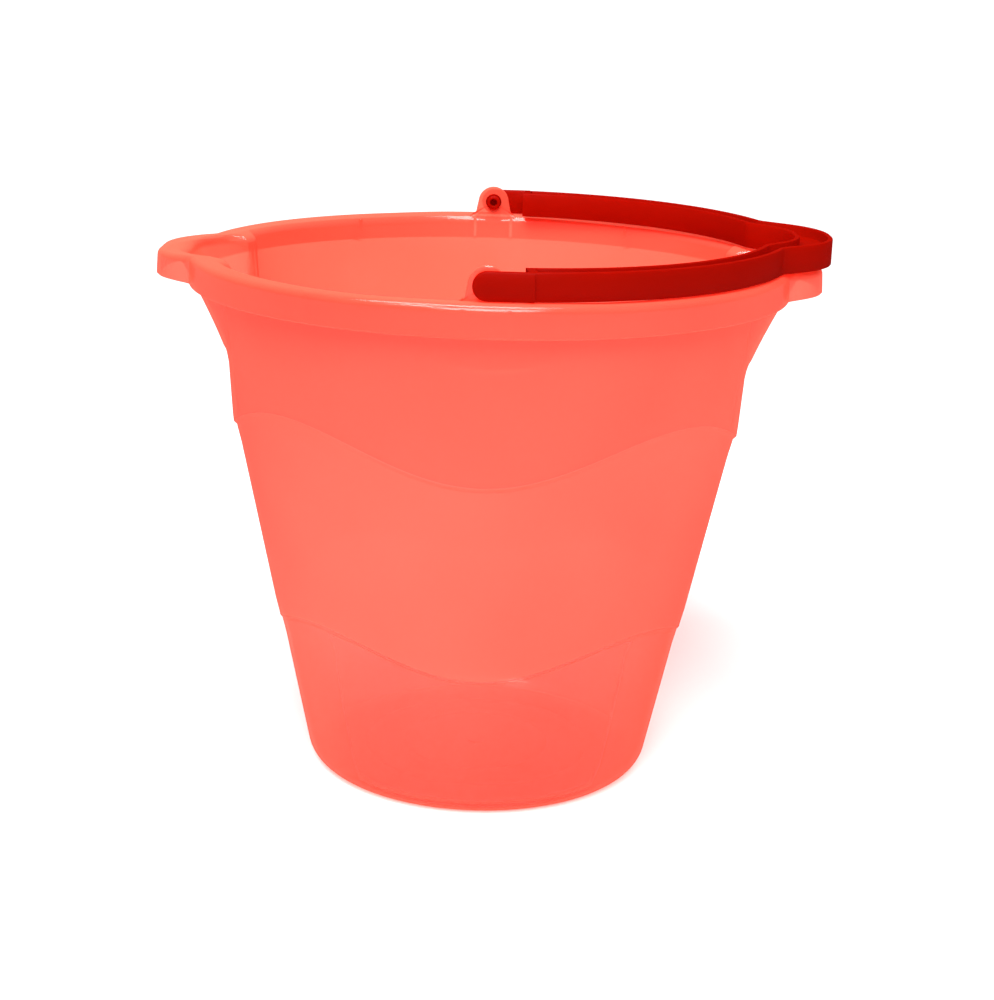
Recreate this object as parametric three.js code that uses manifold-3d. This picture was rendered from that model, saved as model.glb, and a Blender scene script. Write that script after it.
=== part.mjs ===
// Beach bucket of about five litres with a swinging carry handle, in millimetres.
// +Z is up, and the origin is the centre of the underside. The two pouring spouts face
// +X and -X, and the two handle ears stand at +Y and -Y. The handle is folded down
// towards +X, flat on the rim. Both pieces are single injection mouldings.
import * as THREE from "three";
import { mergeVertices } from "three/addons/utils/BufferGeometryUtils.js";
import Module from "manifold-3d";

// ---- Driving dimensions -------------------------------------------------------------

const WALL = 1.6; // moulded wall thickness of the tub

// Underside and floor.
const PAD_RADIUS = 18; // flat pad round the centre of the underside
const FOOT_INNER = 56.5; // the foot ring runs from here out to the rounded corner
const FOOT_RECESS = 1.0; // height of the hollow between pad and foot ring
const FLOOR_TOP = 2.8;
const CORNER_RADIUS = 9.5; // outside radius between foot and wall

// Wall: three bands, each standing a little proud of the band below it.
const BASE_RADIUS = 70.0; // radius of the lower cone where it would meet the ground
const DRAFT = 0.2055; // growth of radius per millimetre of height, lower two bands
const BAND_STEP = 1.15; // how far a band stands proud of the one below
const STEP_HALF_HEIGHT = 0.6;
const LOWER_WAVE = { height: 67.2, swing: 6.3 };
const UPPER_WAVE = { height: 151.0, swing: 8.7 };
const WAVES = 4; // whole waves round the bucket
const TOP_RADIUS = 102.4; // upper band, at TOP_FROM
const TOP_FROM = 145.8;
const TOP_DRAFT = 0.135;
const PANEL_DRAFT = 0.068; // flatter panel under each spout
const PANEL_EDGE = { inner: 21.4, outer: 22.6 }; // degrees either side of the spout

// Spout channel: it grows out of the panel and leans outwards to the lip.
const SPOUT_FROM = 171.5; // height where it starts
const SPOUT_START = 105.4; // its reach from the axis there
const SPOUT_LEAN = 0.38;
const SPOUT_CURL = 3.5e-5; // extra reach, per cube of the height above SPOUT_FROM
const SPOUT_PLAN = { half: 31.0, lowCorner: 28.0, topCorner: 19.0 }; // rounder lower down

// Rim: a flat flange with a hanging skirt, carried round both spouts.
const RIM_TOP = 213.0;
const EAR_RISE = { amount: 0.4, from: 26, to: 8 }; // the rim stands higher near each ear
const SPOUT_DROOP = { amount: 0.3, from: 19, to: 8 }; // and lower over each spout
const RIM_THICKNESS = 1.9;
const SKIRT_BOTTOM = 201.5;
const SKIRT_RADIUS = 120.0;
const SKIRT_PLAN = { half: 33.5, tip: 132.2, corner: 28.0 };
const SKIRT_WALL = 1.6;
const SKIRT_LIFT = { amount: 1.2, from: 20.5, to: 11 }; // raised edge under each spout
const CREST_RADIUS = 2.6; // rounding of the outer top edge
const MOUTH_RADIUS = 112.2; // inner edge of the flange
const MOUTH_PLAN = { half: 27.0, tip: 125.8, corner: 24.0 };
const LIP_DEPTH = 4.0; // height of the rounding from flange down into the mouth

// Ribs that tie the skirt to the wall.
const RIB_THICKNESS = 1.2;
const RIB_ANGLES = [57.5, 122.5, 237.5, 302.5];
const EAR_RIB_OFFSET = 8.1; // ribs under the edges of each ear

// Ears and pivot.
const PIVOT_HEIGHT = 219.0;
const EAR_OUTER_FACE = 111.6;
const EAR_THICKNESS = 2.0;
const EAR_RADIUS = 6.8;
const EAR_SPREAD = 0.8; // extra half width at the rim
const EAR_ROOT = 206.5; // the plate merges into the wall down to here
const EAR_FILLET = 3.0;
const PIN_RADIUS = 3.1;
const PIN_BORE = 1.6;
const PIN_REACH = 4.6; // length of a pin, inwards from the tongue
const PIN_CLEARANCE = 0.35;

// Handle: an H-section bow that follows the rim and bulges round the spout.
const HANDLE_HEIGHT = 10.4;
const HANDLE_OUTER = { centre: 4.2, radius: 114.1 };
const HANDLE_OUTER_PLAN = { half: 37.0, tip: 135.2, corner: 34.0 };
const HANDLE_INNER = { centre: 6.6, radius: 103.0 };
const HANDLE_INNER_PLAN = { half: 29.0, tip: 120.2, corner: 26.0 };
const HANDLE_WALL = 2.0;
const HANDLE_WEB = 1.8;
const BOW_FROM = 14.4; // the H-section starts here, outside the sweep of the ear
const TONGUE_INNER_FACE = 112.0;
const TONGUE_THICKNESS = 2.6;

// Sampling of the curved outlines, as degrees from the nearest spout.
const QUARTER_ANGLES = [
  0, 3.5, 7, 9.5, 11.5, 13.2, 14.6, 16, 17.4, 19.2, 21.4, 22.6, 30, 37.5, 45, 52.5, 60, 67.5, 75, 82.5,
];

const wasm = await Module();
wasm.setup();

const rad = THREE.MathUtils.degToRad;
const mix = THREE.MathUtils.lerp;

// ---- Booleans -----------------------------------------------------------------------

function toSolid(geometry) {
  const bare = geometry.clone();
  bare.deleteAttribute("normal");
  bare.deleteAttribute("uv");
  const merged = mergeVertices(bare, 1e-4);
  return new wasm.Manifold(
    new wasm.Mesh({
      numProp: 3,
      vertProperties: new Float32Array(merged.attributes.position.array),
      triVerts: new Uint32Array(merged.index.array),
    }),
  );
}

function toGeometry(solid) {
  const { vertProperties, triVerts } = solid.getMesh();
  const geometry = new THREE.BufferGeometry();
  geometry.setAttribute("position", new THREE.BufferAttribute(vertProperties, 3));
  geometry.setIndex(new THREE.BufferAttribute(triVerts, 1));
  geometry.computeVertexNormals();
  return geometry;
}

// ---- Plan outlines ------------------------------------------------------------------

// Angle from the nearest spout direction, 0 to 90 degrees.
function fromSpout(angle) {
  return THREE.MathUtils.radToDeg(Math.asin(Math.min(1, Math.abs(Math.sin(rad(angle))))));
}

// Distance from the axis to a rounded bar of half width `half` that ends at `tip`.
function barRadius(angle, { half, tip, corner }) {
  const a = rad(fromSpout(angle));
  const flat = Math.atan2(half - corner, tip);
  if (a <= flat) return tip / Math.cos(a);
  const side = half / Math.sin(a);
  if (side * Math.cos(a) <= tip - corner) return side;
  const cx = tip - corner;
  const cy = half - corner;
  const along = cx * Math.cos(a) + cy * Math.sin(a);
  return along + Math.sqrt(along * along - (cx * cx + cy * cy - corner * corner));
}

function roundWithSpouts(angle, radius, plan) {
  return Math.max(radius, barRadius(angle, plan));
}

function allAngles() {
  const quarter = QUARTER_ANGLES;
  const mirrored = [90, ...quarter.slice(1).reverse()].map((a) => 180 - a);
  const half = [...quarter, ...mirrored];
  return [...half, ...half.map((a) => a + 180)];
}

// ---- Tub ----------------------------------------------------------------------------

function stepHeight(angle, wave) {
  return wave.height - wave.swing * Math.cos(rad(WAVES * angle));
}

function lowerRadius(height) {
  return BASE_RADIUS + DRAFT * height;
}

function panelShare(angle) {
  const a = fromSpout(angle);
  return 1 - THREE.MathUtils.smoothstep(a, PANEL_EDGE.inner, PANEL_EDGE.outer);
}

// Outside radius of the upper band, with its panels and spout channels.
function upperRadius(angle, height, inset = 0) {
  const draft = mix(TOP_DRAFT, PANEL_DRAFT, panelShare(angle));
  const wall = TOP_RADIUS + draft * (height - TOP_FROM) - inset;
  const rise = height - SPOUT_FROM;
  if (rise <= 0) return wall;
  const tip = SPOUT_START + SPOUT_LEAN * rise + SPOUT_CURL * rise ** 3 - inset;
  const share = THREE.MathUtils.smoothstep(height, SPOUT_FROM, RIM_TOP);
  const corner = mix(SPOUT_PLAN.lowCorner, SPOUT_PLAN.topCorner, share) - inset;
  return Math.max(wall, barRadius(angle, { half: SPOUT_PLAN.half - inset, tip, corner }));
}

// The wall between the floor corner and the flange, bottom to top, set in by `inset`.
function wallPoints(angle, inset) {
  const low = stepHeight(angle, LOWER_WAVE);
  const high = stepHeight(angle, UPPER_WAVE);
  const point = (r, z) => new THREE.Vector2(r, z);
  const band = (z, proud) => point(lowerRadius(z) + proud - inset, z);
  return [
    band(low - STEP_HALF_HEIGHT, 0),
    band(low + STEP_HALF_HEIGHT, BAND_STEP),
    band(high - STEP_HALF_HEIGHT, BAND_STEP),
    ...[high + STEP_HALF_HEIGHT, SPOUT_FROM, 184, 193, 202].map((z) =>
      point(upperRadius(angle, z, inset), z),
    ),
  ];
}

// Quarter turn from the foot, or the floor, up into the wall.
function cornerPoints(floor, radius, inset, steps) {
  const lean = Math.atan(DRAFT);
  const centreHeight = floor + radius;
  const centre = lowerRadius(centreHeight) - inset - radius / Math.cos(lean);
  const points = [];
  for (let i = 0; i <= steps; i++) {
    const t = mix(-Math.PI / 2, -lean, i / steps);
    points.push(new THREE.Vector2(centre + radius * Math.cos(t), centreHeight + radius * Math.sin(t)));
  }
  return points;
}

function undersidePoints() {
  return [
    new THREE.Vector2(0, 0),
    new THREE.Vector2(PAD_RADIUS, 0),
    new THREE.Vector2(PAD_RADIUS + FOOT_RECESS, FOOT_RECESS),
    new THREE.Vector2(FOOT_INNER - FOOT_RECESS, FOOT_RECESS),
    new THREE.Vector2(FOOT_INNER, 0),
  ];
}

function rimTop(angle) {
  const a = fromSpout(angle);
  const rise = 1 - THREE.MathUtils.smoothstep(90 - a, EAR_RISE.to, EAR_RISE.from);
  const droop = 1 - THREE.MathUtils.smoothstep(a, SPOUT_DROOP.to, SPOUT_DROOP.from);
  return RIM_TOP + EAR_RISE.amount * rise - SPOUT_DROOP.amount * droop;
}

// Inner edge of the flange, never tighter than the wall or channel below it.
function mouthRadius(angle) {
  const foot = upperRadius(angle, rimTop(angle) - LIP_DEPTH, WALL);
  return Math.max(roundWithSpouts(angle, MOUTH_RADIUS, MOUTH_PLAN), foot + 0.8);
}

function skirtBottom(angle) {
  const { amount, from, to } = SKIRT_LIFT;
  const share = 1 - THREE.MathUtils.smoothstep(fromSpout(angle), to, from);
  return SKIRT_BOTTOM + amount * share;
}

// Flange and skirt, from the wall outwards, round the skirt and back to the mouth.
function rimPoints(angle) {
  const outer = roundWithSpouts(angle, SKIRT_RADIUS, SKIRT_PLAN);
  const { half, tip, corner } = SKIRT_PLAN;
  const hollow = { half: half - SKIRT_WALL, tip: tip - SKIRT_WALL, corner: corner - SKIRT_WALL };
  const inner = roundWithSpouts(angle, SKIRT_RADIUS - SKIRT_WALL, hollow);
  const bottom = skirtBottom(angle);
  const top = rimTop(angle);
  const underside = top - RIM_THICKNESS;
  const crest = [0, 30, 60, 90].map((t) => {
    const inward = CREST_RADIUS * (1 - Math.cos(rad(t)));
    const down = CREST_RADIUS * (1 - Math.sin(rad(t)));
    return new THREE.Vector2(outer - inward, top - down);
  });
  return [
    new THREE.Vector2(upperRadius(angle, underside), underside),
    new THREE.Vector2(inner, underside),
    new THREE.Vector2(inner, bottom),
    new THREE.Vector2(outer, bottom),
    ...crest,
    new THREE.Vector2(mouthRadius(angle), top),
  ];
}

// Rounding from the flange down into the mouth.
function lipPoints(angle) {
  const top = rimTop(angle);
  const foot = upperRadius(angle, top - LIP_DEPTH, WALL);
  return [30, 60, 90].map((t) => {
    const z = top - LIP_DEPTH * (1 - Math.cos(rad(t)));
    return new THREE.Vector2(mix(mouthRadius(angle), foot, Math.sin(rad(t))), z);
  });
}

// Half section of the tub at one angle: a loop that starts and ends on the axis.
function tubProfile(angle) {
  return [
    ...undersidePoints(),
    ...cornerPoints(0, CORNER_RADIUS, 0, 4),
    ...wallPoints(angle, 0),
    ...rimPoints(angle),
    ...lipPoints(angle),
    ...wallPoints(angle, WALL).reverse(),
    ...cornerPoints(FLOOR_TOP, CORNER_RADIUS - WALL, WALL, 3).reverse(),
    new THREE.Vector2(0, FLOOR_TOP),
  ];
}

// Joins one half section per angle into a closed surface round the axis.
function loftRound(angles, profileAt) {
  const profiles = angles.map(profileAt);
  const rows = profiles[0].length - 2;
  const positions = [];
  profiles.forEach((profile, i) => {
    const a = rad(angles[i]);
    for (const p of profile.slice(1, -1)) {
      positions.push(p.x * Math.cos(a), p.x * Math.sin(a), p.y);
    }
  });
  const bottomPole = positions.length / 3;
  positions.push(0, 0, profiles[0][0].y);
  positions.push(0, 0, profiles[0][rows + 1].y);
  const faces = [];
  for (let i = 0; i < angles.length; i++) {
    const here = i * rows;
    const next = ((i + 1) % angles.length) * rows;
    faces.push(bottomPole, next, here);
    for (let j = 0; j < rows - 1; j++) {
      faces.push(here + j, next + j, next + j + 1);
      faces.push(here + j, next + j + 1, here + j + 1);
    }
    faces.push(bottomPole + 1, here + rows - 1, next + rows - 1);
  }
  const geometry = new THREE.BufferGeometry();
  geometry.setAttribute("position", new THREE.Float32BufferAttribute(positions, 3));
  geometry.setIndex(faces);
  return geometry;
}

// Ear plate in the XZ plane, thickness along Y, with its pin hole.
function earSolid(side) {
  const shape = new THREE.Shape();
  const flank = EAR_RADIUS + EAR_SPREAD;
  const foot = flank + EAR_FILLET;
  const flange = RIM_TOP + EAR_RISE.amount;
  const bend = flange - 0.6; // the fillets start just inside the flange
  shape.moveTo(-foot, EAR_ROOT);
  shape.lineTo(foot, EAR_ROOT);
  shape.lineTo(foot, bend);
  shape.quadraticCurveTo(flank, bend, flank, flange + EAR_FILLET);
  shape.absarc(0, PIVOT_HEIGHT, EAR_RADIUS, 0, Math.PI, false);
  shape.lineTo(-flank, flange + EAR_FILLET);
  shape.quadraticCurveTo(-flank, bend, -foot, bend);
  shape.closePath();
  const hole = new THREE.Path();
  hole.absarc(0, PIVOT_HEIGHT, PIN_RADIUS + PIN_CLEARANCE, 0, 2 * Math.PI, true);
  shape.holes.push(hole);
  const plate = new THREE.ExtrudeGeometry(shape, {
    depth: EAR_THICKNESS,
    bevelEnabled: false,
    curveSegments: 8,
  });
  plate.rotateX(Math.PI / 2);
  plate.translate(0, EAR_OUTER_FACE, 0);
  plate.rotateZ(side > 0 ? 0 : Math.PI);
  return toSolid(plate);
}

// Radial rib between wall and skirt, `offset` to the side of the radius at `angle`.
function ribSolid(angle, offset = 0) {
  const inner = upperRadius(angle, SKIRT_BOTTOM, WALL / 2);
  const outer = SKIRT_RADIUS - SKIRT_WALL / 2;
  const bottom = SKIRT_BOTTOM + 0.4;
  const top = RIM_TOP - RIM_THICKNESS + 0.8;
  const rib = new THREE.BoxGeometry(outer - inner, RIB_THICKNESS, top - bottom);
  rib.translate((inner + outer) / 2, offset, (bottom + top) / 2);
  rib.rotateZ(rad(angle));
  return toSolid(rib);
}

function tubGeometry() {
  let solid = toSolid(loftRound(allAngles(), tubProfile));
  for (const angle of RIB_ANGLES) {
    solid = solid.add(ribSolid(angle));
  }
  for (const side of [1, -1]) {
    solid = solid.add(ribSolid(side * 90, EAR_RIB_OFFSET));
    solid = solid.add(ribSolid(side * 90, -EAR_RIB_OFFSET));
    solid = solid.add(earSolid(side));
  }
  return toGeometry(solid);
}

// ---- Handle -------------------------------------------------------------------------

// Distance from the axis to an arc of a circle whose centre is moved towards +X.
function arcRadius(angle, { centre, radius }) {
  const a = rad(angle);
  return centre * Math.cos(a) + Math.sqrt(radius ** 2 - (centre * Math.sin(a)) ** 2);
}

function handleAngles() {
  const half = [0, 3, 6, 9, 11, 13, 15, 16.5, 18, 19.6, 20.4, 23, 30, 37, 44, 51, 58, 65, 72, 79, 86, 93];
  return [...half.slice(1).reverse().map((a) => -a), ...half];
}

// One side of the bow in plan. `grow` moves it outwards.
function bowLine(arc, plan, grow) {
  const moved = { half: plan.half + grow, tip: plan.tip + grow, corner: plan.corner + grow };
  const round = { centre: arc.centre, radius: arc.radius + grow };
  return handleAngles().map((angle) => {
    const r = Math.max(arcRadius(angle, round), barRadius(angle, moved));
    return new THREE.Vector2(r * Math.cos(rad(angle)), r * Math.sin(rad(angle)));
  });
}

// Closed plan between the two sides of the bow, moved inwards by `inset`, cut off at x = from.
function bowSolid(inset, from, bottom, top) {
  const outer = bowLine(HANDLE_OUTER, HANDLE_OUTER_PLAN, -inset);
  const inner = bowLine(HANDLE_INNER, HANDLE_INNER_PLAN, inset);
  const shape = new THREE.Shape([...outer, ...inner.reverse()]);
  const slab = new THREE.ExtrudeGeometry(shape, { depth: top - bottom, bevelEnabled: false });
  slab.translate(0, 0, bottom);
  const keep = new THREE.BoxGeometry(200, 300, 60);
  keep.translate(100 + from, 0, (bottom + top) / 2);
  return toSolid(slab).intersect(toSolid(keep));
}

// Flat tongue that carries a pin, with a round end about the pivot.
function tongueSolid(side) {
  const half = HANDLE_HEIGHT / 2;
  const length = BOW_FROM + HANDLE_WALL;
  const shape = new THREE.Shape();
  shape.moveTo(0, -half);
  shape.lineTo(length, -half);
  shape.lineTo(length, half);
  shape.lineTo(0, half);
  shape.absarc(0, 0, half, Math.PI / 2, (3 * Math.PI) / 2, false);
  const tongue = new THREE.ExtrudeGeometry(shape, {
    depth: TONGUE_THICKNESS,
    bevelEnabled: false,
    curveSegments: 8,
  });
  tongue.rotateX(Math.PI / 2);
  const far = side > 0 ? TONGUE_INNER_FACE + TONGUE_THICKNESS : -TONGUE_INNER_FACE;
  tongue.translate(0, far, PIVOT_HEIGHT);
  return toSolid(tongue);
}

// Hollow pin that points inwards from a tongue through the ear.
function pinSolid(side) {
  const root = TONGUE_THICKNESS / 2;
  const end = -PIN_REACH;
  const profile = [
    [0, root],
    [PIN_RADIUS, root],
    [PIN_RADIUS, end + 0.5],
    [PIN_RADIUS - 0.5, end],
    [PIN_BORE, end],
    [PIN_BORE, -0.4],
    [0, -0.4],
  ].map(([r, y]) => new THREE.Vector2(r, y));
  const pin = new THREE.LatheGeometry(profile.reverse(), 20);
  pin.translate(0, TONGUE_INNER_FACE, 0);
  pin.rotateZ(side > 0 ? 0 : Math.PI);
  pin.translate(0, 0, PIVOT_HEIGHT);
  return toSolid(pin);
}

function handleGeometry() {
  const bottom = PIVOT_HEIGHT - HANDLE_HEIGHT / 2;
  const top = PIVOT_HEIGHT + HANDLE_HEIGHT / 2;
  const webHalf = HANDLE_WEB / 2;
  const pocketFrom = BOW_FROM + HANDLE_WALL;
  let solid = bowSolid(0, BOW_FROM, bottom, top);
  solid = solid.subtract(bowSolid(HANDLE_WALL, pocketFrom, PIVOT_HEIGHT + webHalf, top + 1));
  solid = solid.subtract(bowSolid(HANDLE_WALL, pocketFrom, bottom - 1, PIVOT_HEIGHT - webHalf));
  for (const side of [1, -1]) {
    solid = solid.add(tongueSolid(side));
    solid = solid.add(pinSolid(side));
  }
  return toGeometry(solid);
}

// ---- Assembly -----------------------------------------------------------------------

function part(name, geometry, color, roughness) {
  const material = new THREE.MeshStandardMaterial({ color, roughness, metalness: 0 });
  const mesh = new THREE.Mesh(geometry, material);
  mesh.name = name;
  return mesh;
}

const bucket = new THREE.Group();
bucket.add(part("tub", tubGeometry(), 0xff7361, 0.3));
bucket.add(part("handle", handleGeometry(), 0x9c1206, 0.4));

export default bucket;
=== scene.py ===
"""Beach bucket of dyed translucent polypropylene with a swinging carry handle.

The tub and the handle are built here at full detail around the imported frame, which keeps
the joint and the collision. Lengths are millimetres in the constants and metres in Blender.
"""
import math

import bmesh
import bpy
from mathutils import Matrix, Vector


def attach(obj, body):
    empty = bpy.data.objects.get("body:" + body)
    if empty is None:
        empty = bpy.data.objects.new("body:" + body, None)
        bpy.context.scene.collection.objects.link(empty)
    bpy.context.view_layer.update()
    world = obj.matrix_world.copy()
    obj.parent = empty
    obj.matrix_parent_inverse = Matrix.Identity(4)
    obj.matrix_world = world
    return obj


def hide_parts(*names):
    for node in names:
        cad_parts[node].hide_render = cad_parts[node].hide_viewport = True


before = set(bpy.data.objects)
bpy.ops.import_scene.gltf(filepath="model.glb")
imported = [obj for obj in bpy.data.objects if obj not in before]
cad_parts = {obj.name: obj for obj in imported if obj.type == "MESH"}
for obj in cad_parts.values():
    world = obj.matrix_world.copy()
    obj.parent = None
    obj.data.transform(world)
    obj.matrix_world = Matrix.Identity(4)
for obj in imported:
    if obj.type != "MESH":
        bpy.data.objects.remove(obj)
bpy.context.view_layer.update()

MM = 0.001

# ---- Tub dimensions, millimetres ------------------------------------------------------

WALL = 1.6
PAD_RADIUS = 18.0
FOOT_INNER = 56.5
FOOT_RECESS = 1.0
FLOOR_TOP = 2.8
FLOOR_RINGS = (47.0, 30.0)  # radii of the low moulded rings
GATE_HEIGHT = 0.7  # stub at the centre, left by the mould's gate
CORNER_RADIUS = 9.5
BASE_RADIUS = 70.0
DRAFT = 0.2055
BAND_STEP = 1.15
STEP_HALF_HEIGHT = 0.6
LOWER_WAVE = (67.2, 6.3)  # mean height, swing
UPPER_WAVE = (151.0, 8.7)
WALL_ENDS = (16.0, 208.0)  # heights where the wall's own points start and end
WAVES = 4
TOP_RADIUS = 102.4
TOP_FROM = 145.8
TOP_DRAFT = 0.135
PANEL_DRAFT = 0.068
PANEL_EDGE = (20.6, 23.4)  # degrees from the spout

SPOUT_FROM = 171.5
SPOUT_START = 105.4
SPOUT_LEAN = 0.38
SPOUT_CURL = 3.5e-5
SPOUT_HALF = 31.0
SPOUT_CORNERS = (28.0, 19.0)  # plan corner radius, low and high
SPOUT_BLEND = 2.0  # softening where the channel leaves the wall

RIM_TOP = 213.0
EAR_RISE = 0.4  # the rim stands this much higher at the ears
EAR_RISE_SPAN = (8.0, 26.0)  # degrees from the ear: full rise to none
SPOUT_DROOP = 0.3  # and this much lower over each spout
SPOUT_DROOP_SPAN = (8.0, 19.0)  # degrees from the spout: full droop to none
RIM_THICKNESS = 1.9
SKIRT_BOTTOM = 201.5
SKIRT_RADIUS = 120.0
SKIRT_PLAN = (33.5, 132.2, 28.0)  # half width, tip, corner radius
SKIRT_WALL = 1.6
SKIRT_LIFT = (1.2, 20.5, 11.0)  # amount; degrees from the spout: none, then full
CREST_RADIUS = 2.6
MOUTH_RADIUS = 112.2
MOUTH_PLAN = (27.0, 125.8, 24.0)
LIP_DEPTH = 4.0
JUNCTION_BLEND = 1.8  # softening where the round rim runs into a spout

RIB_THICKNESS = 1.2
RIB_ANGLES = (57.5, 122.5, 237.5, 302.5)
EAR_RIB_OFFSET = 8.1

PIVOT_HEIGHT = 219.0
EAR_OUTER_FACE = 111.6
EAR_THICKNESS = 2.0
EAR_RADIUS = 6.8
EAR_SPREAD = 0.8  # each side of the ear is this much wider at the rim
EAR_ROOT = 206.5
EAR_FILLET = 3.0
PIN_RADIUS = 3.1
PIN_BORE = 1.6
PIN_REACH = 4.6  # inwards from the tongue
PIN_BORE_FLOOR = -0.4
PIN_CLEARANCE = 0.35

# ---- Handle dimensions, millimetres ---------------------------------------------------

HANDLE_HEIGHT = 10.4
HANDLE_OUTER = (4.2, 114.1)  # arc centre along X, radius
HANDLE_OUTER_PLAN = (37.0, 135.2, 34.0)
HANDLE_INNER = (6.6, 103.0)
HANDLE_INNER_PLAN = (29.0, 120.2, 26.0)
HANDLE_WALL = 2.0
HANDLE_WEB = 1.8
BOW_FROM = 14.4
END_WALL = 3.5
TONGUE_INNER_FACE = 112.0
TONGUE_THICKNESS = 2.6
EDGE_ROUND = 0.5

SIDES = (1, -1)
TUB_STATIONS = 480  # sections round the tub
GLOSS, FROSTED, CLEAR = 0, 1, 2  # finishes of the tub, by material slot


# ---- Small helpers --------------------------------------------------------------------

def smoothstep(x, low, high):
    t = min(1.0, max(0.0, (x - low) / (high - low)))
    return t * t * (3 - 2 * t)


def mix(a, b, t):
    return a + (b - a) * t


def soft_max(a, b, blend):
    h = max(blend - abs(a - b), 0.0) / blend
    return max(a, b) + h * h * blend / 4


def spread(low, high, count):
    return [mix(low, high, i / (count - 1)) for i in range(count)]


# ---- Plan outlines --------------------------------------------------------------------

def from_spout(angle):
    return math.degrees(math.asin(min(1.0, abs(math.sin(math.radians(angle))))))


def bar_radius(angle, half, tip, corner):
    """Distance from the axis to a round-cornered bar that ends at `tip`."""
    a = math.radians(from_spout(angle))
    if a <= math.atan2(half - corner, tip):
        return tip / math.cos(a)
    side = half / math.sin(a)
    if side * math.cos(a) <= tip - corner:
        return side
    cx, cy = tip - corner, half - corner
    along = cx * math.cos(a) + cy * math.sin(a)
    return along + math.sqrt(along * along - (cx * cx + cy * cy - corner * corner))


def round_with_spouts(angle, radius, plan, blend=JUNCTION_BLEND):
    return soft_max(radius, bar_radius(angle, *plan), blend)


# ---- Tub section ----------------------------------------------------------------------

def step_height(angle, wave):
    return wave[0] - wave[1] * math.cos(math.radians(WAVES * angle))


def lower_radius(height):
    return BASE_RADIUS + DRAFT * height


def upper_radius(angle, height, inset=0.0):
    panel = 1 - smoothstep(from_spout(angle), *PANEL_EDGE)
    draft = mix(TOP_DRAFT, PANEL_DRAFT, panel)
    wall = TOP_RADIUS + draft * (height - TOP_FROM) - inset
    rise = height - SPOUT_FROM
    if rise <= 0:
        return wall
    tip = SPOUT_START + SPOUT_LEAN * rise + SPOUT_CURL * rise**3 - inset
    share = smoothstep(height, SPOUT_FROM, RIM_TOP)
    corner = mix(*SPOUT_CORNERS, share) - inset
    return soft_max(wall, bar_radius(angle, SPOUT_HALF - inset, tip, corner), SPOUT_BLEND)


def rim_top(angle):
    a = from_spout(angle)
    rise = EAR_RISE * (1 - smoothstep(90 - a, *EAR_RISE_SPAN))
    droop = SPOUT_DROOP * (1 - smoothstep(a, *SPOUT_DROOP_SPAN))
    return RIM_TOP + rise - droop


def mouth_radius(angle):
    """Inner edge of the flange, never tighter than the wall or channel below it."""
    foot = upper_radius(angle, rim_top(angle) - LIP_DEPTH, WALL)
    return soft_max(round_with_spouts(angle, MOUTH_RADIUS, MOUTH_PLAN), foot + 0.8, 1.5)


def skirt_bottom(angle):
    amount, start, end = SKIRT_LIFT
    return SKIRT_BOTTOM + amount * (1 - smoothstep(from_spout(angle), end, start))


def step_points(radius_below, radius_above, height):
    """Rounded step of a wall, from just under it to just over it."""
    h = STEP_HALF_HEIGHT
    return [
        (radius_below, height - 2.2 * h),
        (mix(radius_below, radius_above, 0.06), height - 1.1 * h),
        (mix(radius_below, radius_above, 0.5), height),
        (mix(radius_below, radius_above, 0.94), height + 1.1 * h),
        (radius_above, height + 2.2 * h),
    ]


def wall_points(angle, inset):
    """(radius, height, finish) up the wall, set in by `inset`."""
    low = step_height(angle, LOWER_WAVE)
    high = step_height(angle, UPPER_WAVE)
    margin = 2.2 * STEP_HALF_HEIGHT
    points = []
    for z in spread(WALL_ENDS[0], low - margin, 9)[:-1]:
        points.append((lower_radius(z) - inset, z, CLEAR))
    below = lower_radius(low) - inset
    points += [(r, z, CLEAR) for r, z in step_points(below, below + BAND_STEP, low)]
    for z in spread(low + margin, high - margin, 13)[1:-1]:
        points.append((lower_radius(z) + BAND_STEP - inset, z, FROSTED))
    below = lower_radius(high) + BAND_STEP - inset
    above = upper_radius(angle, high, inset)
    points += [(r, z, FROSTED) for r, z in step_points(below, above, high)]
    for z in spread(high + margin, WALL_ENDS[1], 20)[1:]:
        points.append((upper_radius(angle, z, inset), z, GLOSS))
    return points


def corner_points(floor, radius, inset, steps):
    lean = math.atan(DRAFT)
    centre_height = floor + radius
    centre = lower_radius(centre_height) - inset - radius / math.cos(lean)
    points = []
    for t in spread(-math.pi / 2, -lean, steps + 1):
        points.append((centre + radius * math.cos(t), centre_height + radius * math.sin(t), CLEAR))
    return points


def underside_points():
    r = 0.35  # softened edges of the pad and of the foot ring
    return [
        (0.0, 0.0, 0),
        (PAD_RADIUS - r, 0.0, 0),
        (PAD_RADIUS, r * 0.3, 0),
        (PAD_RADIUS + FOOT_RECESS, FOOT_RECESS - r * 0.3, 0),
        (PAD_RADIUS + FOOT_RECESS + r, FOOT_RECESS, 0),
        (FOOT_INNER - FOOT_RECESS - r, FOOT_RECESS, 0),
        (FOOT_INNER - FOOT_RECESS, FOOT_RECESS - r * 0.3, 0),
        (FOOT_INNER, r * 0.3, 0),
        (FOOT_INNER + r, 0.0, 0),
    ]


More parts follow.
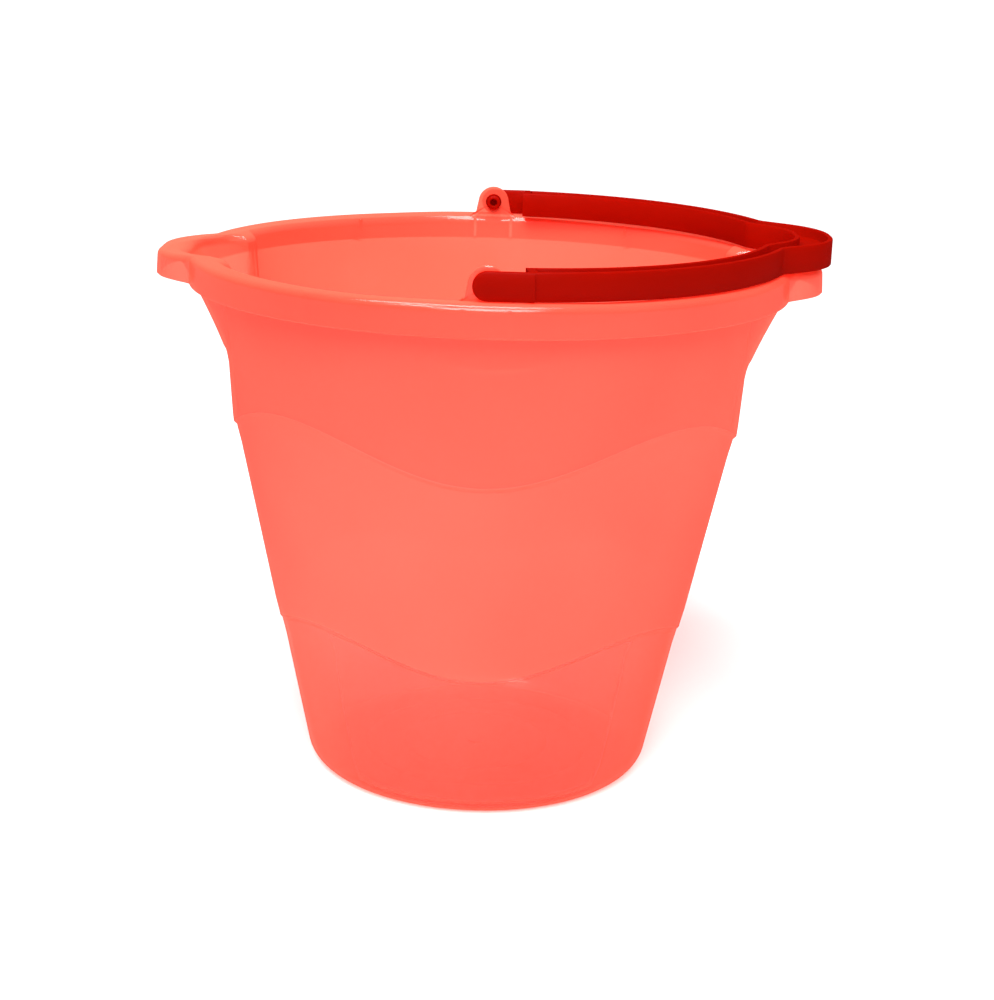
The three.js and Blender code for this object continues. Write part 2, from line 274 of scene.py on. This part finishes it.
def rim_points(angle):
    """Flange underside, round the skirt, over the crest and in to the mouth."""
    half, tip, corner = SKIRT_PLAN
    w = SKIRT_WALL
    outer = round_with_spouts(angle, SKIRT_RADIUS, SKIRT_PLAN)
    inner = round_with_spouts(angle, SKIRT_RADIUS - w, (half - w, tip - w, corner - w))
    mouth = mouth_radius(angle)
    bottom = skirt_bottom(angle)
    top = rim_top(angle)
    under = top - RIM_THICKNESS
    wall = upper_radius(angle, under)
    edge = 0.45
    nook = min(1.4, 0.3 * (inner - wall))  # rounding of the corners under the flange
    points = [(wall, under - 1.6), (wall + 0.3 * nook, under - 0.4), (wall + nook, under)]
    points += [(inner - nook, under), (inner - 0.3 * nook, under - 0.4), (inner, under - 1.4)]
    points += [(inner, mix(under - 1.4, bottom, 0.5)), (inner, bottom + edge)]
    points += [(inner + edge, bottom), (outer - edge, bottom), (outer, bottom + edge)]
    points += [(outer - 0.15, mix(bottom, top, 0.35)), (outer - 0.3, top - CREST_RADIUS - 1.5)]
    for turn in spread(0, 90, 8):
        inward = 0.4 + CREST_RADIUS * (1 - math.cos(math.radians(turn)))
        down = CREST_RADIUS * (1 - math.sin(math.radians(turn)))
        points.append((outer - inward, top - down))
    points += [(mix(outer - CREST_RADIUS, mouth, 0.6), top), (mouth + 1.2, top)]
    return [(r, z, 0) for r, z in points]


def lip_points(angle):
    mouth = mouth_radius(angle)
    top = rim_top(angle)
    foot = upper_radius(angle, top - LIP_DEPTH, WALL)
    points = [(mouth + 0.4, top - 0.12, 0)]
    for turn in spread(12, 90, 7):
        s, c = math.sin(math.radians(turn)), math.cos(math.radians(turn))
        points.append((mix(mouth, foot, s), top - LIP_DEPTH * (1 - c), 0))
    return points


def inner_floor_points():
    """From the floor corner to the axis, with the faint moulded rings of the floor."""
    rings = []
    for radius in FLOOR_RINGS:
        rings += [(radius + 0.9, FLOOR_TOP), (radius + 0.3, FLOOR_TOP + 0.35)]
        rings += [(radius - 0.3, FLOOR_TOP + 0.35), (radius - 0.9, FLOOR_TOP)]
    gate = [(3.4, FLOOR_TOP), (2.9, FLOOR_TOP + 0.5)]
    gate += [(1.2, FLOOR_TOP + GATE_HEIGHT), (0.0, FLOOR_TOP + GATE_HEIGHT)]
    return [(r, z, 0) for r, z in rings + gate]


def tub_section(angle):
    """Closed half section: outside from the axis up, then inside back down to the axis."""
    section = underside_points() + corner_points(0, CORNER_RADIUS, 0, 10)
    section += wall_points(angle, 0) + rim_points(angle) + lip_points(angle)
    section += wall_points(angle, WALL)[::-1]
    section += corner_points(FLOOR_TOP, CORNER_RADIUS - WALL, WALL, 8)[::-1]
    return section + inner_floor_points()


# ---- Mesh building --------------------------------------------------------------------

def loft_round(sections, angles):
    """Closed mesh through half sections round the axis. A face's slot is its finish."""
    mesh = bmesh.new()
    rows = len(sections[0]) - 2
    rings = []
    for section, angle in zip(sections, angles):
        c, s = math.cos(math.radians(angle)), math.sin(math.radians(angle))
        ring = [(r * c * MM, r * s * MM, z * MM) for r, z, _ in section[1:-1]]
        rings.append([mesh.verts.new(point) for point in ring])
    bottom = mesh.verts.new((0, 0, sections[0][0][1] * MM))
    top = mesh.verts.new((0, 0, sections[0][-1][1] * MM))
    for i, ring in enumerate(rings):
        after = rings[(i + 1) % len(rings)]
        mesh.faces.new((bottom, after[0], ring[0]))
        for j in range(rows - 1):
            face = mesh.faces.new((ring[j], after[j], after[j + 1], ring[j + 1]))
            face.material_index = min(sections[i][j + 1][2], sections[i][j + 2][2])
        mesh.faces.new((top, ring[-1], after[-1]))
    return mesh


def loft_open(stations):
    """Closed mesh through rings of points, capped at both ends."""
    mesh = bmesh.new()
    rings = [[mesh.verts.new(Vector(p) * MM) for p in station] for station in stations]
    count = len(rings[0])
    for ring, after in zip(rings, rings[1:]):
        for j in range(count):
            k = (j + 1) % count
            mesh.faces.new((ring[j], ring[k], after[k], after[j]))
    mesh.faces.new(rings[0][::-1])
    mesh.faces.new(rings[-1])
    return mesh


def to_object(mesh, name):
    bmesh.ops.recalc_face_normals(mesh, faces=mesh.faces[:])
    data = bpy.data.meshes.new(name)
    mesh.to_mesh(data)
    mesh.free()
    obj = bpy.data.objects.new(name, data)
    bpy.context.scene.collection.objects.link(obj)
    return obj


def join_all(meshes, name):
    whole = bmesh.new()
    for mesh in meshes:
        bmesh.ops.recalc_face_normals(mesh, faces=mesh.faces[:])
        part = bpy.data.meshes.new("part")
        mesh.to_mesh(part)
        mesh.free()
        whole.from_mesh(part)
        bpy.data.meshes.remove(part)
    return to_object(whole, name)


def unite(obj, cutters):
    """Unites obj with each cutter object in turn and removes the cutters."""
    for cutter in cutters:
        boolean = obj.modifiers.new("unite", "BOOLEAN")
        boolean.operation = "UNION"
        boolean.solver = "MANIFOLD"
        boolean.object = cutter
    bpy.context.view_layer.update()
    evaluated = obj.evaluated_get(bpy.context.evaluated_depsgraph_get())
    final = bpy.data.meshes.new_from_object(evaluated)
    obj.modifiers.clear()
    obj.data = final
    for cutter in cutters:
        bpy.data.objects.remove(cutter)


def shade(obj, sharp_above):
    obj.data.polygons.foreach_set("use_smooth", [True] * len(obj.data.polygons))
    obj.data.set_sharp_from_angle(angle=math.radians(sharp_above))


def washer_plate(outline, hole, y_low, y_high, round_edge):
    """Plate between y_low and y_high: outline(t) for t in 0..1 outside, a round hole inside."""
    count = 96
    mesh = bmesh.new()

    def ring(grow, y):
        points = []
        for i in range(count):
            x, z = outline(i / count)
            d = Vector((x, z))
            d = d.normalized() * (d.length - grow)
            points.append(mesh.verts.new((d.x * MM, y * MM, (d.y + PIVOT_HEIGHT) * MM)))
        return points

    def hole_ring(grow, y):
        points = []
        for i in range(count):
            d = Vector(outline(i / count)).normalized() * (hole + grow)
            points.append(mesh.verts.new((d.x * MM, y * MM, (d.y + PIVOT_HEIGHT) * MM)))
        return points

    e = round_edge
    loops = [ring(e, y_low), ring(0, y_low + e), ring(0, y_high - e), ring(e, y_high)]
    c = 0.3  # chamfer of the hole
    loops += [hole_ring(c, y_high), hole_ring(0, y_high - c)]
    loops += [hole_ring(0, y_low + c), hole_ring(c, y_low)]
    for a, b in zip(loops, loops[1:] + loops[:1]):
        for i in range(count):
            k = (i + 1) % count
            mesh.faces.new((a[i], a[k], b[k], b[i]))
    return mesh


# ---- Tub ------------------------------------------------------------------------------

def ear_outline(t):
    """Ear edge about the pivot, once round from the lower right: side, round top, side, root."""
    flange = RIM_TOP + EAR_RISE - PIVOT_HEIGHT
    foot = EAR_RADIUS + EAR_SPREAD + EAR_FILLET
    root = EAR_ROOT - PIVOT_HEIGHT
    right = [(foot, root), (foot, flange - 0.6)]
    side = EAR_RADIUS + EAR_SPREAD
    for s in spread(0, 1, 6):
        x = mix(mix(foot, side, s), mix(side, side - 0.15, s), s)
        z = mix(mix(flange - 0.6, flange - 0.6, s), mix(flange - 0.6, flange + EAR_FILLET, s), s)
        right.append((x, z))
    turns = spread(math.radians(6), math.pi / 2, 14)
    top = [(EAR_RADIUS * math.cos(a), EAR_RADIUS * math.sin(a)) for a in turns]
    half = right + top
    whole = half + [(-x, z) for x, z in half[-2::-1]]
    lengths = [0.0]
    for (x0, z0), (x1, z1) in zip(whole, whole[1:] + whole[:1]):
        lengths.append(lengths[-1] + math.hypot(x1 - x0, z1 - z0))
    want = t * lengths[-1]
    for i in range(len(whole)):
        if want <= lengths[i + 1]:
            s = (want - lengths[i]) / (lengths[i + 1] - lengths[i])
            (x0, z0), (x1, z1) = whole[i], whole[(i + 1) % len(whole)]
            return mix(x0, x1, s), mix(z0, z1, s)
    return whole[0]


def turn(mesh, angle):
    about_z = Matrix.Rotation(math.radians(angle), 3, "Z")
    bmesh.ops.rotate(mesh, verts=mesh.verts, cent=(0, 0, 0), matrix=about_z)


def ear_mesh(side):
    inner = EAR_OUTER_FACE - EAR_THICKNESS
    mesh = washer_plate(ear_outline, PIN_RADIUS + PIN_CLEARANCE, inner, EAR_OUTER_FACE, 0.4)
    if side < 0:
        turn(mesh, 180)
    return mesh


def rib_mesh(angle, offset=0.0):
    inner = upper_radius(angle, SKIRT_BOTTOM, WALL / 2)
    outer = SKIRT_RADIUS - SKIRT_WALL / 2
    low, high = SKIRT_BOTTOM + 0.6, RIM_TOP - RIM_THICKNESS + 0.8
    mesh = bmesh.new()
    size = (outer - inner, RIB_THICKNESS, high - low)
    bmesh.ops.create_cube(mesh, size=1)
    bmesh.ops.scale(mesh, vec=Vector(size) * MM, verts=mesh.verts)
    centre = Vector(((inner + outer) / 2, offset, (low + high) / 2))
    bmesh.ops.translate(mesh, vec=centre * MM, verts=mesh.verts)
    turn(mesh, angle)
    return mesh


def make_tub(finishes):
    angles = [i * 360 / TUB_STATIONS for i in range(TUB_STATIONS)]
    tub = to_object(loft_round([tub_section(a) for a in angles], angles), "tub_shell")
    for finish in finishes:
        tub.data.materials.append(finish)
    ribs = [rib_mesh(a) for a in RIB_ANGLES]
    for side in SIDES:
        ribs += [rib_mesh(90 * side, offset) for offset in (EAR_RIB_OFFSET, -EAR_RIB_OFFSET)]
    ears = [ear_mesh(side) for side in SIDES]
    unite(tub, [join_all(ribs, "ribs"), join_all(ears, "ears")])
    while len(tub.data.materials) > len(finishes):
        tub.data.materials.pop()
    shade(tub, 38)
    return tub


# ---- Handle ---------------------------------------------------------------------------

def arc_radius(angle, centre, radius):
    a = math.radians(angle)
    return centre * math.cos(a) + math.sqrt(radius**2 - (centre * math.sin(a)) ** 2)


def bow_point(angle, outside, depth, z):
    """Point `depth` mm into the bow from its outer or its inner face."""
    grow = -depth if outside else depth
    centre, radius = HANDLE_OUTER if outside else HANDLE_INNER
    half, tip, corner = HANDLE_OUTER_PLAN if outside else HANDLE_INNER_PLAN
    bar = bar_radius(angle, half + grow, tip + grow, corner + grow)
    r = soft_max(arc_radius(angle, centre, radius + grow), bar, 8.0)
    return (r * math.cos(math.radians(angle)), r * math.sin(math.radians(angle)), z)


def bow_section(angle, pocket):
    """H section at one angle. pocket runs from 0, solid, to 1, full depth."""
    low, high = PIVOT_HEIGHT - HANDLE_HEIGHT / 2, PIVOT_HEIGHT + HANDLE_HEIGHT / 2
    web_top = mix(high - 0.02, PIVOT_HEIGHT + HANDLE_WEB / 2, pocket)
    web_low = mix(low + 0.02, PIVOT_HEIGHT - HANDLE_WEB / 2, pocket)
    w, e = HANDLE_WALL, EDGE_ROUND
    soft = 0.7 * pocket + 0.01

    def edge(z_edge, inward, web):
        """From the outer edge over the wall top, down into the pocket and onto the web."""
        return [
            (0, z_edge + e * inward),
            (e * 0.3, z_edge + e * 0.3 * inward),
            (e, z_edge),
            (w - e, z_edge),
            (w - e * 0.3, z_edge + min(e * 0.3, abs(web - z_edge)) * inward),
            (w, z_edge + min(e, abs(web - z_edge)) * inward),
            (w, web - soft * inward),
            (w + 0.3, web - 0.3 * soft * inward),
            (w + 1.0, web),
        ]

    top = edge(high, -1, web_top)
    bottom = edge(low, 1, web_low)
    section = [bow_point(angle, True, d, z) for d, z in top]
    section += [bow_point(angle, False, d, z) for d, z in top[::-1]]
    section += [bow_point(angle, False, d, z) for d, z in bottom]
    section += [bow_point(angle, True, d, z) for d, z in bottom[::-1]]
    return section


def bow_mesh():
    reach = HANDLE_OUTER[1]
    end = math.degrees(math.acos(BOW_FROM / reach))
    pocket_end = math.degrees(math.acos((BOW_FROM + END_WALL) / reach))
    outer_part = spread(pocket_end, 26, 40)
    tip_part = spread(26, 0, 53)[1:]
    half = outer_part + tip_part
    angles = half + [-a for a in half[-2::-1]]
    stations = [bow_section(end, 0), bow_section(pocket_end + 0.25, 0)]
    stations += [bow_section(a, 1) for a in angles]
    stations += [bow_section(-pocket_end - 0.25, 0), bow_section(-end, 0)]
    return loft_open(stations)


def tongue_outline(t):
    """Outline about the pivot: a round end and a straight part that runs into the bow."""
    half = HANDLE_HEIGHT / 2
    length = BOW_FROM + 2.0
    arc = math.pi * half
    total = arc + 2 * length + 2 * half
    s = t * total
    if s < arc:
        a = math.pi / 2 + s / half
        return half * math.cos(a), half * math.sin(a)
    s -= arc
    if s < length:
        return s, -half
    s -= length
    if s < 2 * half:
        return length, -half + s
    return length - (s - 2 * half), half


def tongue_mesh(side):
    mesh = bmesh.new()
    count = 80
    e = 0.5
    face = TONGUE_INNER_FACE
    back = face + TONGUE_THICKNESS
    rings = [(e, face), (0.3 * e, face + 0.3 * e), (0, face + e)]
    rings += [(0, back - e), (0.3 * e, back - 0.3 * e), (e, back)]
    loops = []
    for inset, y in rings:
        loop = []
        for i in range(count):
            x, z = tongue_outline(i / count)
            scale = 1 - inset / max(abs(z), HANDLE_HEIGHT / 2)
            x = x * scale if x < 0 else x
            loop.append(mesh.verts.new((x * MM, y * MM, (z * scale + PIVOT_HEIGHT) * MM)))
        loops.append(loop)
    for a, b in zip(loops, loops[1:]):
        for i in range(count):
            k = (i + 1) % count
            mesh.faces.new((a[i], a[k], b[k], b[i]))
    mesh.faces.new(loops[0][::-1])
    mesh.faces.new(loops[-1])
    if side < 0:
        bmesh.ops.scale(mesh, vec=(1, -1, 1), verts=mesh.verts)
    return mesh


def pin_mesh(side):
    """Hollow pin that points inwards from the tongue through the ear."""
    root, end = TONGUE_THICKNESS / 2, -PIN_REACH
    profile = [(PIN_RADIUS, root), (PIN_RADIUS, end + 0.6)]
    profile += [(PIN_RADIUS - 0.2, end + 0.2), (PIN_RADIUS - 0.6, end)]
    profile += [(PIN_BORE + 0.25, end), (PIN_BORE, end + 0.25), (PIN_BORE, PIN_BORE_FLOOR)]
    mesh = bmesh.new()
    count = 40
    rings = []
    for r, y in profile:
        ring = []
        for i in range(count):
            a = 2 * math.pi * i / count
            across, up = r * math.cos(a), PIVOT_HEIGHT + r * math.sin(a)
            ring.append(mesh.verts.new((across * MM, (TONGUE_INNER_FACE + y) * MM, up * MM)))
        rings.append(ring)
    first = mesh.verts.new((0, (TONGUE_INNER_FACE + root) * MM, PIVOT_HEIGHT * MM))
    last = mesh.verts.new((0, (TONGUE_INNER_FACE + PIN_BORE_FLOOR) * MM, PIVOT_HEIGHT * MM))
    for i in range(count):
        k = (i + 1) % count
        mesh.faces.new((first, rings[0][i], rings[0][k]))
        for a, b in zip(rings, rings[1:]):
            mesh.faces.new((a[i], b[i], b[k], a[k]))
        mesh.faces.new((last, rings[-1][k], rings[-1][i]))
    if side < 0:
        bmesh.ops.scale(mesh, vec=(1, -1, 1), verts=mesh.verts)
    return mesh


def make_handle():
    handle = to_object(bow_mesh(), "handle_bow")
    tongues = join_all([tongue_mesh(side) for side in SIDES], "tongues")
    pins = join_all([pin_mesh(side) for side in SIDES], "pins")
    unite(handle, [tongues, pins])
    shade(handle, 35)
    return handle


# ---- Materials ------------------------------------------------------------------------

class Graph:
    """Short calls for one material's nodes."""

    def __init__(self, name):
        self.material = bpy.data.materials.new(name)
        self.material.use_nodes = True
        self.tree = self.material.node_tree
        self.tree.nodes.clear()

    def node(self, kind, inputs=None, **settings):
        node = self.tree.nodes.new("ShaderNode" + kind)
        for key, value in settings.items():
            setattr(node, key, value)
        for key, value in (inputs or {}).items():
            self.put(node.inputs[key], value)
        return node

    def put(self, socket, value):
        if isinstance(value, bpy.types.NodeSocket):
            self.tree.links.new(value, socket)
        else:
            socket.default_value = value

    def noise(self, place, scale, detail=3.0, rough=0.5):
        inputs = {"Vector": place, "Scale": scale, "Detail": detail, "Roughness": rough}
        return self.node("TexNoise", inputs).outputs["Fac"]

    def stretch(self, place, scale):
        return self.node("Mapping", {"Vector": place, "Scale": scale}).outputs["Vector"]

    def remap(self, value, low, high, to_low, to_high):
        inputs = {"Value": value, "From Min": low, "From Max": high}
        inputs.update({"To Min": to_low, "To Max": to_high})
        return self.node("MapRange", inputs).outputs["Result"]

    def blend(self, share, a, b):
        made = self.node("Mix", data_type="RGBA")
        self.put(made.inputs[0], share)
        self.put(made.inputs[6], a)
        self.put(made.inputs[7], b)
        return made.outputs[2]

    def math(self, operation, a, b):
        made = self.node("Math", {0: a, 1: b}, operation=operation)
        return made.outputs[0]

    def bump(self, strength, distance, height):
        inputs = {"Strength": strength, "Distance": distance, "Height": height}
        return self.node("Bump", inputs).outputs[0]

    def matt(self, colour, normal):
        inputs = {"Base Color": colour, "Roughness": 0.6, "Specular IOR Level": 0.0}
        return self.node("BsdfPrincipled", {**inputs, "Normal": normal})

    def mix_shaders(self, share, a, b):
        return self.node("MixShader", {0: share, 1: a, 2: b}).outputs[0]

    def finish(self, shader):
        self.node("OutputMaterial", {"Surface": shader})
        return self.material


def tub_material(name, clear, tint, frosted=False):
    """Dyed translucent plastic. `clear` is the share that is seen straight through."""
    g = Graph(name)
    place = g.node("TexCoord").outputs["Object"]
    clouds = g.noise(place, 9, 2)
    grain = g.noise(place, 900, 2)
    streaks = g.noise(g.stretch(place, (60, 60, 4)), 6, 4)
    scuffs = g.noise(g.stretch(place, (30, 30, 240)), 5, 4, 0.7)
    light = (1.0, 0.195, 0.122, 1)
    deep = (1.0, 0.16, 0.096, 1)
    colour = g.blend(g.remap(clouds, 0.35, 0.65, 0, 1), light, deep)
    if frosted:
        rough = g.remap(grain, 0.3, 0.7, 0.38, 0.52)
        height = grain
        strength, distance = 0.12, 0.0003
    else:
        rough = g.remap(scuffs, 0.45, 0.75, 0.09, 0.26)
        height = g.math("ADD", streaks, g.math("MULTIPLY", scuffs, 0.15))
        strength, distance = 0.12, 0.0006
    bump = g.bump(strength, distance, height)
    body = g.matt(colour, bump)
    gloss = g.node("BsdfGlossy", {"Color": (1, 1, 1, 1), "Roughness": rough, "Normal": bump})
    glow = g.node("BsdfTranslucent", {"Color": colour, "Normal": bump})
    through = g.node("BsdfTransparent", {"Color": tint})
    solid = g.mix_shaders(0.5, body.outputs[0], glow.outputs[0])
    facing = g.node("LayerWeight", {"Blend": 0.35}).outputs["Facing"]
    open_share = g.remap(facing, 0.2, 1.0, clear, clear * 0.15)
    plastic = g.mix_shaders(open_share, solid, through.outputs[0])
    sheen = g.remap(g.node("Fresnel", {"IOR": 1.49}).outputs[0], 0.04, 1.0, 0.028, 0.036)
    return g.finish(g.mix_shaders(sheen, plastic, gloss.outputs[0]))


def handle_material():
    g = Graph("handle_red")
    place = g.node("TexCoord").outputs["Object"]
    clouds = g.noise(place, 14, 3)
    grain = g.noise(place, 1400, 2)
    scuffs = g.noise(g.stretch(place, (80, 80, 500)), 3, 5, 0.7)
    light = (0.24, 0.0026, 0.0002, 1)
    deep = (0.19, 0.0018, 0.0001, 1)
    colour = g.blend(g.remap(clouds, 0.3, 0.7, 0, 1), light, deep)
    rough = g.remap(scuffs, 0.4, 0.75, 0.28, 0.46)
    height = g.math("ADD", g.math("MULTIPLY", grain, 0.3), scuffs)
    bump = g.bump(0.25, 0.0002, height)
    body = g.matt(colour, bump)
    gloss = g.node("BsdfGlossy", {"Color": (1, 1, 1, 1), "Roughness": rough, "Normal": bump})
    glow = g.node("BsdfTranslucent", {"Color": (0.9, 0.014, 0.0005, 1), "Normal": bump})
    solid = g.mix_shaders(0.3, body.outputs[0], glow.outputs[0])
    sheen = g.remap(g.node("Fresnel", {"IOR": 1.49}).outputs[0], 0.04, 1.0, 0.0015, 0.01)
    return g.finish(g.mix_shaders(sheen, solid, gloss.outputs[0]))


# ---- Stage, lights, camera ------------------------------------------------------------

def make_floor():
    mesh = bmesh.new()
    bmesh.ops.create_circle(mesh, cap_ends=True, segments=96, radius=40.0)
    floor = to_object(mesh, "floor")
    floor.location.z = -0.0002
    g = Graph("floor_pale")
    pale = g.node("BsdfDiffuse", {"Color": (0.93, 0.93, 0.93, 1)}).outputs[0]
    floor.data.materials.append(g.finish(pale))


FILL = 0.45  # brightness of the room; where the camera sees it, it is the white backdrop


def make_world():
    world = bpy.data.worlds.new("studio")
    world.use_nodes = True
    nodes, links = world.node_tree.nodes, world.node_tree.links
    background = nodes["Background"]
    background.inputs["Color"].default_value = (1, 1, 1, 1)
    seen = nodes.new("ShaderNodeLightPath").outputs["Is Camera Ray"]
    strength = nodes.new("ShaderNodeMapRange")
    strength.inputs["To Min"].default_value = FILL
    strength.inputs["To Max"].default_value = 1.0
    links.new(seen, strength.inputs["Value"])
    links.new(strength.outputs["Result"], background.inputs["Strength"])
    bpy.context.scene.world = world


def sun_light(name, toward, strength, spread_angle):
    data = bpy.data.lights.new(name, "SUN")
    data.energy = strength
    data.angle = math.radians(spread_angle)
    light = bpy.data.objects.new(name, data)
    light.rotation_euler = Vector(toward).to_track_quat("-Z", "Y").to_euler()
    bpy.context.scene.collection.objects.link(light)


def area_light(name, place, target, size, power):
    data = bpy.data.lights.new(name, "AREA")
    data.shape = "RECTANGLE"
    data.size, data.size_y = size
    data.energy = power
    light = bpy.data.objects.new(name, data)
    light.location = place
    light.visible_camera = False
    light.rotation_euler = (Vector(target) - Vector(place)).to_track_quat("-Z", "Y").to_euler()
    bpy.context.scene.collection.objects.link(light)


CAMERA_PLACE = (0.00533, -0.77612, 0.33359)
CAMERA_PITCH, CAMERA_ROLL = 16.05, 1.77  # degrees
CAMERA_LENS, CAMERA_SENSOR = 70.2, 36


def make_camera():
    """Camera in front of the bucket, a little above the rim, rolled slightly."""
    pitch, roll = math.radians(CAMERA_PITCH), math.radians(CAMERA_ROLL)
    ahead = Vector((0, math.cos(pitch), -math.sin(pitch)))
    right = Vector((1, 0, 0))
    up = right.cross(ahead)
    right = math.cos(roll) * right + math.sin(roll) * up
    up = right.cross(ahead)
    data = bpy.data.cameras.new("camera")
    data.sensor_width = CAMERA_SENSOR
    data.lens = CAMERA_LENS
    data.shift_x = 0.0008
    data.clip_end = 100
    camera = bpy.data.objects.new("camera", data)
    facing = Matrix((right, up, -ahead)).transposed()
    camera.matrix_world = Matrix.Translation(CAMERA_PLACE) @ facing.to_4x4()
    bpy.context.scene.collection.objects.link(camera)
    bpy.context.scene.camera = camera


# ---- Scene ----------------------------------------------------------------------------

tub_gloss = tub_material("tub_gloss", 0.55, (1.0, 0.46, 0.38, 1))
tub_frosted = tub_material("tub_frosted", 0.38, (1.0, 0.46, 0.4, 1), frosted=True)
tub_clear = tub_material("tub_clear", 0.72, (1.0, 0.7, 0.66, 1))
tub = make_tub([tub_gloss, tub_frosted, tub_clear])
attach(tub, "tub")
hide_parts("tub")

handle = make_handle()
handle.data.materials.clear()
handle.data.materials.append(handle_material())
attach(handle, "handle")
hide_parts("handle")

make_floor()
make_world()
sun_light("front_sun", (0.0, 0.85, -0.65), 4.2, 35)
area_light("key_softbox", (-0.5, -0.75, 1.3), (0, 0, 0.15), (0.3, 0.3), 6)
area_light("top_softbox", (-0.05, -0.1, 0.6), (0.02, 0.1, 0.2), (0.35, 0.15), 3)
make_camera()

scene = bpy.context.scene
scene.view_settings.view_transform = "Standard"
scene.cycles.transparent_max_bounces = 24
